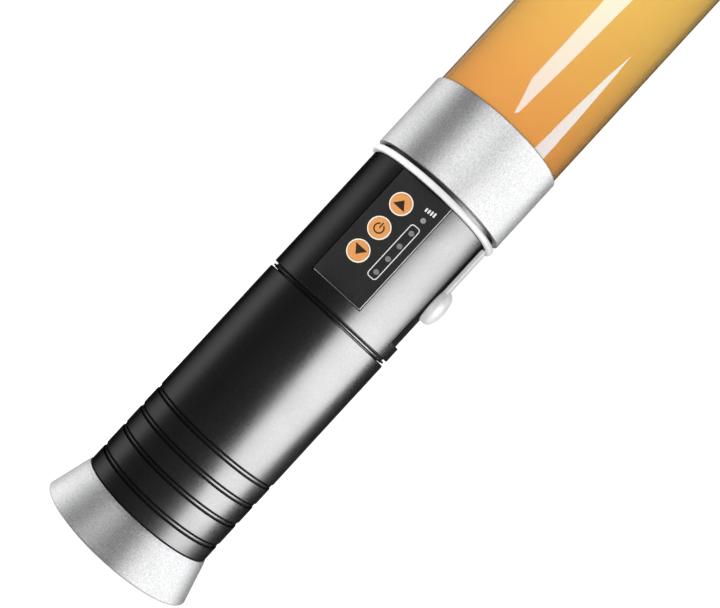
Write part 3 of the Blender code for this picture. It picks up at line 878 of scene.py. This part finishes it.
# ---------------------------------------------------------------- floor, world and lamps
floor_nodes = Nodes("studio_floor")
floor_nodes.set(
    Base_Color=floor_nodes.ramp(floor_nodes.noise(3.0, 3.0), [(0.3, (0.88, 0.88, 0.88)), (0.7, (0.91, 0.91, 0.91))]),
    Roughness=0.9,
    Specular_IOR_Level=0.1,
    Emission_Color=(1, 1, 1, 1),
    Emission_Strength=0.62,
)
bm = bmesh.new()
bmesh.ops.create_grid(bm, x_segments=24, y_segments=24, size=4.0)
floor = mesh_object("floor", bm)
floor.data.materials.append(floor_nodes.material)
floor.visible_glossy = False
floor.visible_shadow = False

AZ = math.radians(8.9)  # where the camera stands, round the object

# radiance round the object as shiny surfaces see it, by degrees to the right of the camera:
# level with the object and below, and higher up
TENT = [
    (-180, 0.08),
    (-150, 0.55),
    (-98, 0.75),
    (-80, 0.10),
    (-45, 0.08),
    (-25, 0.12),
    (12, 0.12),
    (26, 0.30),
    (108, 0.30),
    (125, 0.05),
    (180, 0.05),
]
TENT_HIGH = [
    (-180, 0.03),
    (-160, 0.05),
    (-148, 0.22),
    (-134, 0.05),
    (134, 0.04),
    (160, 0.03),
    (180, 0.03),
]
SOFT_LIGHT = 0.72  # radiance that matt surfaces see from the white room
world = bpy.data.worlds.new("studio")
SCENE.world = world
world.use_nodes = True
world.cycles.sampling_method = "NONE"
wt = world.node_tree
wt.nodes.clear()


def world_node(kind, operation=None, **sockets):
    node = wt.nodes.new(kind)
    if operation:
        node.operation = operation
    for key, value in sockets.items():
        socket = node.inputs[int(key[1:])] if key[0] == "i" and key[1:].isdigit() else node.inputs[key.replace("_", " ")]
        if isinstance(value, bpy.types.NodeSocket):
            wt.links.new(value, socket)
        else:
            socket.default_value = value
    return node


out = world_node("ShaderNodeOutputWorld")
path = world_node("ShaderNodeLightPath")
coords = world_node("ShaderNodeTexCoord")
turned = world_node("ShaderNodeMapping", Vector=coords.outputs["Generated"], Rotation=(0, 0, -AZ))
split = world_node("ShaderNodeSeparateXYZ", Vector=turned.outputs["Vector"])
flipped = world_node("ShaderNodeMath", "MULTIPLY", i0=split.outputs["Y"], i1=-1.0)
around = world_node("ShaderNodeMath", "ARCTAN2", i0=split.outputs["X"], i1=flipped.outputs[0])
share = world_node("ShaderNodeMapRange", Value=around.outputs[0], From_Min=-math.pi, From_Max=math.pi)


def tones(stops):
    ramp = world_node("ShaderNodeValToRGB", Fac=share.outputs["Result"])
    elements = ramp.color_ramp.elements
    while len(elements) < len(stops):
        elements.new(0.5)
    for element, (degrees, value) in zip(elements, stops):
        element.position = (degrees + 180) / 360
        element.color = (value, value, value, 1)
    return ramp.outputs["Color"]


rise = world_node("ShaderNodeMapRange", Value=split.outputs["Z"], From_Min=0.14, From_Max=0.20, To_Min=0.0, To_Max=1.0)
over = world_node("ShaderNodeMixRGB", Fac=rise.outputs["Result"], Color1=tones(TENT), Color2=tones(TENT_HIGH))
tent = world_node("ShaderNodeBackground", Color=over.outputs["Color"], Strength=1.0)
soft = world_node("ShaderNodeBackground", Color=(1, 1, 1, 1), Strength=SOFT_LIGHT)
plain = world_node("ShaderNodeBackground", Color=(1, 1, 1, 1), Strength=1.05)
through = world_node("ShaderNodeBackground", Color=(1, 0.5, 0.35, 1), Strength=0.07)
clear = world_node("ShaderNodeMixShader", Fac=path.outputs["Is Transmission Ray"], i1=tent.outputs["Background"], i2=through.outputs["Background"])
after = world_node("ShaderNodeMath", "GREATER_THAN", i0=path.outputs["Diffuse Depth"], i1=0.5)
mixed = world_node("ShaderNodeMixShader", Fac=after.outputs[0], i1=clear.outputs["Shader"], i2=soft.outputs["Background"])
seen = world_node("ShaderNodeMixShader", Fac=path.outputs["Is Camera Ray"], i1=mixed.outputs["Shader"], i2=plain.outputs["Background"])
wt.links.new(seen.outputs["Shader"], out.inputs["Surface"])


def flagged(light, state, pieces):
    """Keeps a light on the given pieces only, or off them."""
    lit = bpy.data.collections.new(light.name + "_flag")
    light.light_linking.receiver_collection = lit
    for k, obj in enumerate(pieces):
        lit.objects.link(obj)
        lit.collection_objects[k].light_linking.link_state = state


def softbox(name, degrees, distance, height, width, tall, radiance, aim=0.2, only=None, pieces=()):
    """A rectangular lamp, placed by degrees to the right of the camera; radiance sets its brightness."""
    lamp = bpy.data.lights.new(name, "AREA")
    lamp.shape = "RECTANGLE"
    lamp.size = width
    lamp.size_y = tall
    lamp.energy = radiance * width * tall * math.pi
    obj = bpy.data.objects.new(name, lamp)
    SCENE.collection.objects.link(obj)
    a = AZ + math.radians(degrees)
    place = Vector((distance * math.sin(a), -distance * math.cos(a), height))
    back = (place - Vector((0, 0, aim))).normalized()
    right = Vector((0, 0, 1)).cross(back).normalized()
    up = back.cross(right)
    obj.matrix_world = Matrix((right, up, back)).transposed().to_4x4()
    obj.matrix_world.translation = place
    if pieces:
        flagged(obj, "INCLUDE", pieces)
    if only == "matt":
        obj.visible_glossy = False
        obj.visible_transmission = False
    return obj


def panel_lamp(name, degrees, distance, outline, radiance, colour, state, pieces):
    """A flat glowing screen of the given outline, (across, height) in metres, that only shiny surfaces see."""
    a = AZ + math.radians(degrees)
    middle = Vector((distance * math.sin(a), -distance * math.cos(a), 0))
    across = Vector((math.cos(a), math.sin(a), 0))
    bm = bmesh.new()
    bm.faces.new([bm.verts.new(middle + across * x + Vector((0, 0, z))) for x, z in outline])
    bmesh.ops.triangulate(bm, faces=bm.faces[:])
    screen = mesh_object(name, bm)
    glow = bpy.data.materials.new(name)
    glow.use_nodes = True
    glow.node_tree.nodes.remove(glow.node_tree.nodes["Principled BSDF"])
    light = glow.node_tree.nodes.new("ShaderNodeEmission")
    light.inputs["Strength"].default_value = radiance
    light.inputs["Color"].default_value = (*colour, 1)
    glow.node_tree.links.new(light.outputs["Emission"], glow.node_tree.nodes["Material Output"].inputs["Surface"])
    screen.data.materials.append(glow)
    screen.visible_camera = False
    screen.visible_diffuse = False
    screen.visible_transmission = False
    screen.visible_shadow = False
    flagged(screen, state, pieces)
    return screen


STREAK = [
    (0.037, 0.432),
    (-0.035, 0.405),
    (-0.09, 0.37),
    (-0.125, 0.335),
    (-0.16, 0.305),
    (-0.16, 0.295),
    (0.145, 0.295),
    (0.13, 0.335),
    (0.11, 0.37),
    (0.075, 0.405),
]
KEY = [
    (-0.16, 0.295),
    (-0.30, 0.25),
    (-0.58, 0.18),
    (-0.66, 0.12),
    (-0.60, 0.06),
    (-0.50, 0.0),
    (-0.40, -0.08),
    (-0.30, -0.15),
    (-0.05, -0.19),
    (0.20, -0.13),
    (0.32, -0.06),
    (0.40, 0.0),
    (0.44, 0.08),
    (0.48, 0.18),
    (0.28, 0.25),
    (0.145, 0.295),
]
TOP = [(0.014, 0.4186), (0.09, 0.424), (0.196, 0.513), (0.277, 0.605), (0.42, 0.76), (0.36, 0.95), (-0.25, 0.95), (-0.25, 0.469)]
TUBE = [bpy.data.objects["amber_tube"], bpy.data.objects["white_tube"]]
panel_lamp("key_screen", 72, 0.62, KEY, 7.5, (1, 1, 1), "EXCLUDE", SILVER + TUBE[:1])
panel_lamp("streak_screen", 72, 0.62, STREAK, 6.5, (0.2, 0.70, 1.0), "INCLUDE", TUBE)
panel_lamp("top_screen", 0, 1.0, TOP, 6.5, (0.2, 0.70, 1.0), "INCLUDE", TUBE)
# the bright metal has softer lamps of its own, as a photographer flags each surface
softbox("key_silver", 75, 0.5, 0.15, 1.2, 0.9, 1.39, 0.15, None, SILVER)
softbox("gap_silver", -60, 1.0, 0.25, 0.9, 1.0, 0.13, 0.15, None, SILVER)
softbox("front_silver", -10, 0.9, 0.25, 0.75, 1.0, 1.38, 0.15, None, SILVER[1:])
softbox("front_flare", -32, 0.9, 0.25, 0.5, 1.0, 0.75, 0.15, None, SILVER[:1])
softbox("side_silver", -110, 1.0, 0.25, 0.9, 1.0, 0.86, 0.15, None, SILVER)
for name, degrees, radiance in (("key_soft", 60, 0.75), ("fill_soft", -70, 3.0)):
    flagged(softbox(name, degrees, 0.9, 0.35, 0.7, 0.7, radiance, 0.2, "matt"), "EXCLUDE", TUBE[1:])
softbox("tube_soft", -5, 1.0, 0.35, 1.0, 0.8, 0.9, 0.3, "matt", TUBE[1:])
softbox("amber_left", -36, 1.0, 0.35, 1.0, 0.8, 2.5, 0.3, "matt", TUBE[:1])
softbox("amber_right", 34, 1.0, 0.35, 1.0, 0.8, 2.9, 0.3, "matt", TUBE[:1])
softbox("cap_silver", 180, 0.25, 1.5, 3.0, 3.0, 0.85, 0.5, None, SILVER[2:])

# ---------------------------------------------------------------- camera
DISTANCE, HEIGHT = 0.39072, 0.09793
yaw, pitch, roll, lean = 0.013958, 0.032637, 0.002240, math.radians(42.75)
x1 = Vector((math.cos(AZ), math.sin(AZ), 0))
y1 = Vector((-math.sin(AZ), math.cos(AZ), 0))
z1 = Vector((0, 0, 1))
forward = x1 * math.sin(yaw) * math.cos(pitch) + y1 * math.cos(yaw) * math.cos(pitch) + z1 * math.sin(pitch)
flat = x1 * math.cos(yaw) - y1 * math.sin(yaw)
rise_v = flat.cross(forward)
e1 = flat * math.cos(roll) - rise_v * math.sin(roll)
e2 = flat * math.sin(roll) + rise_v * math.cos(roll)
right = e1 * math.cos(lean) + e2 * math.sin(lean)
up = -e1 * math.sin(lean) + e2 * math.cos(lean)
camera = bpy.data.cameras.new("camera")
camera.lens = 59.65
camera.sensor_width = 36.0
camera.clip_start = 0.01
camera.clip_end = 50.0
view = bpy.data.objects.new("camera", camera)
SCENE.collection.objects.link(view)
view.matrix_world = Matrix((right, up, -forward)).transposed().to_4x4()
view.matrix_world.translation = Vector((DISTANCE * math.sin(AZ), -DISTANCE * math.cos(AZ), HEIGHT))
SCENE.camera = view

SCENE.view_settings.view_transform = "Standard"
SCENE.view_settings.look = "None"
SCENE.view_settings.exposure = 0.0
SCENE.view_settings.gamma = 1.0
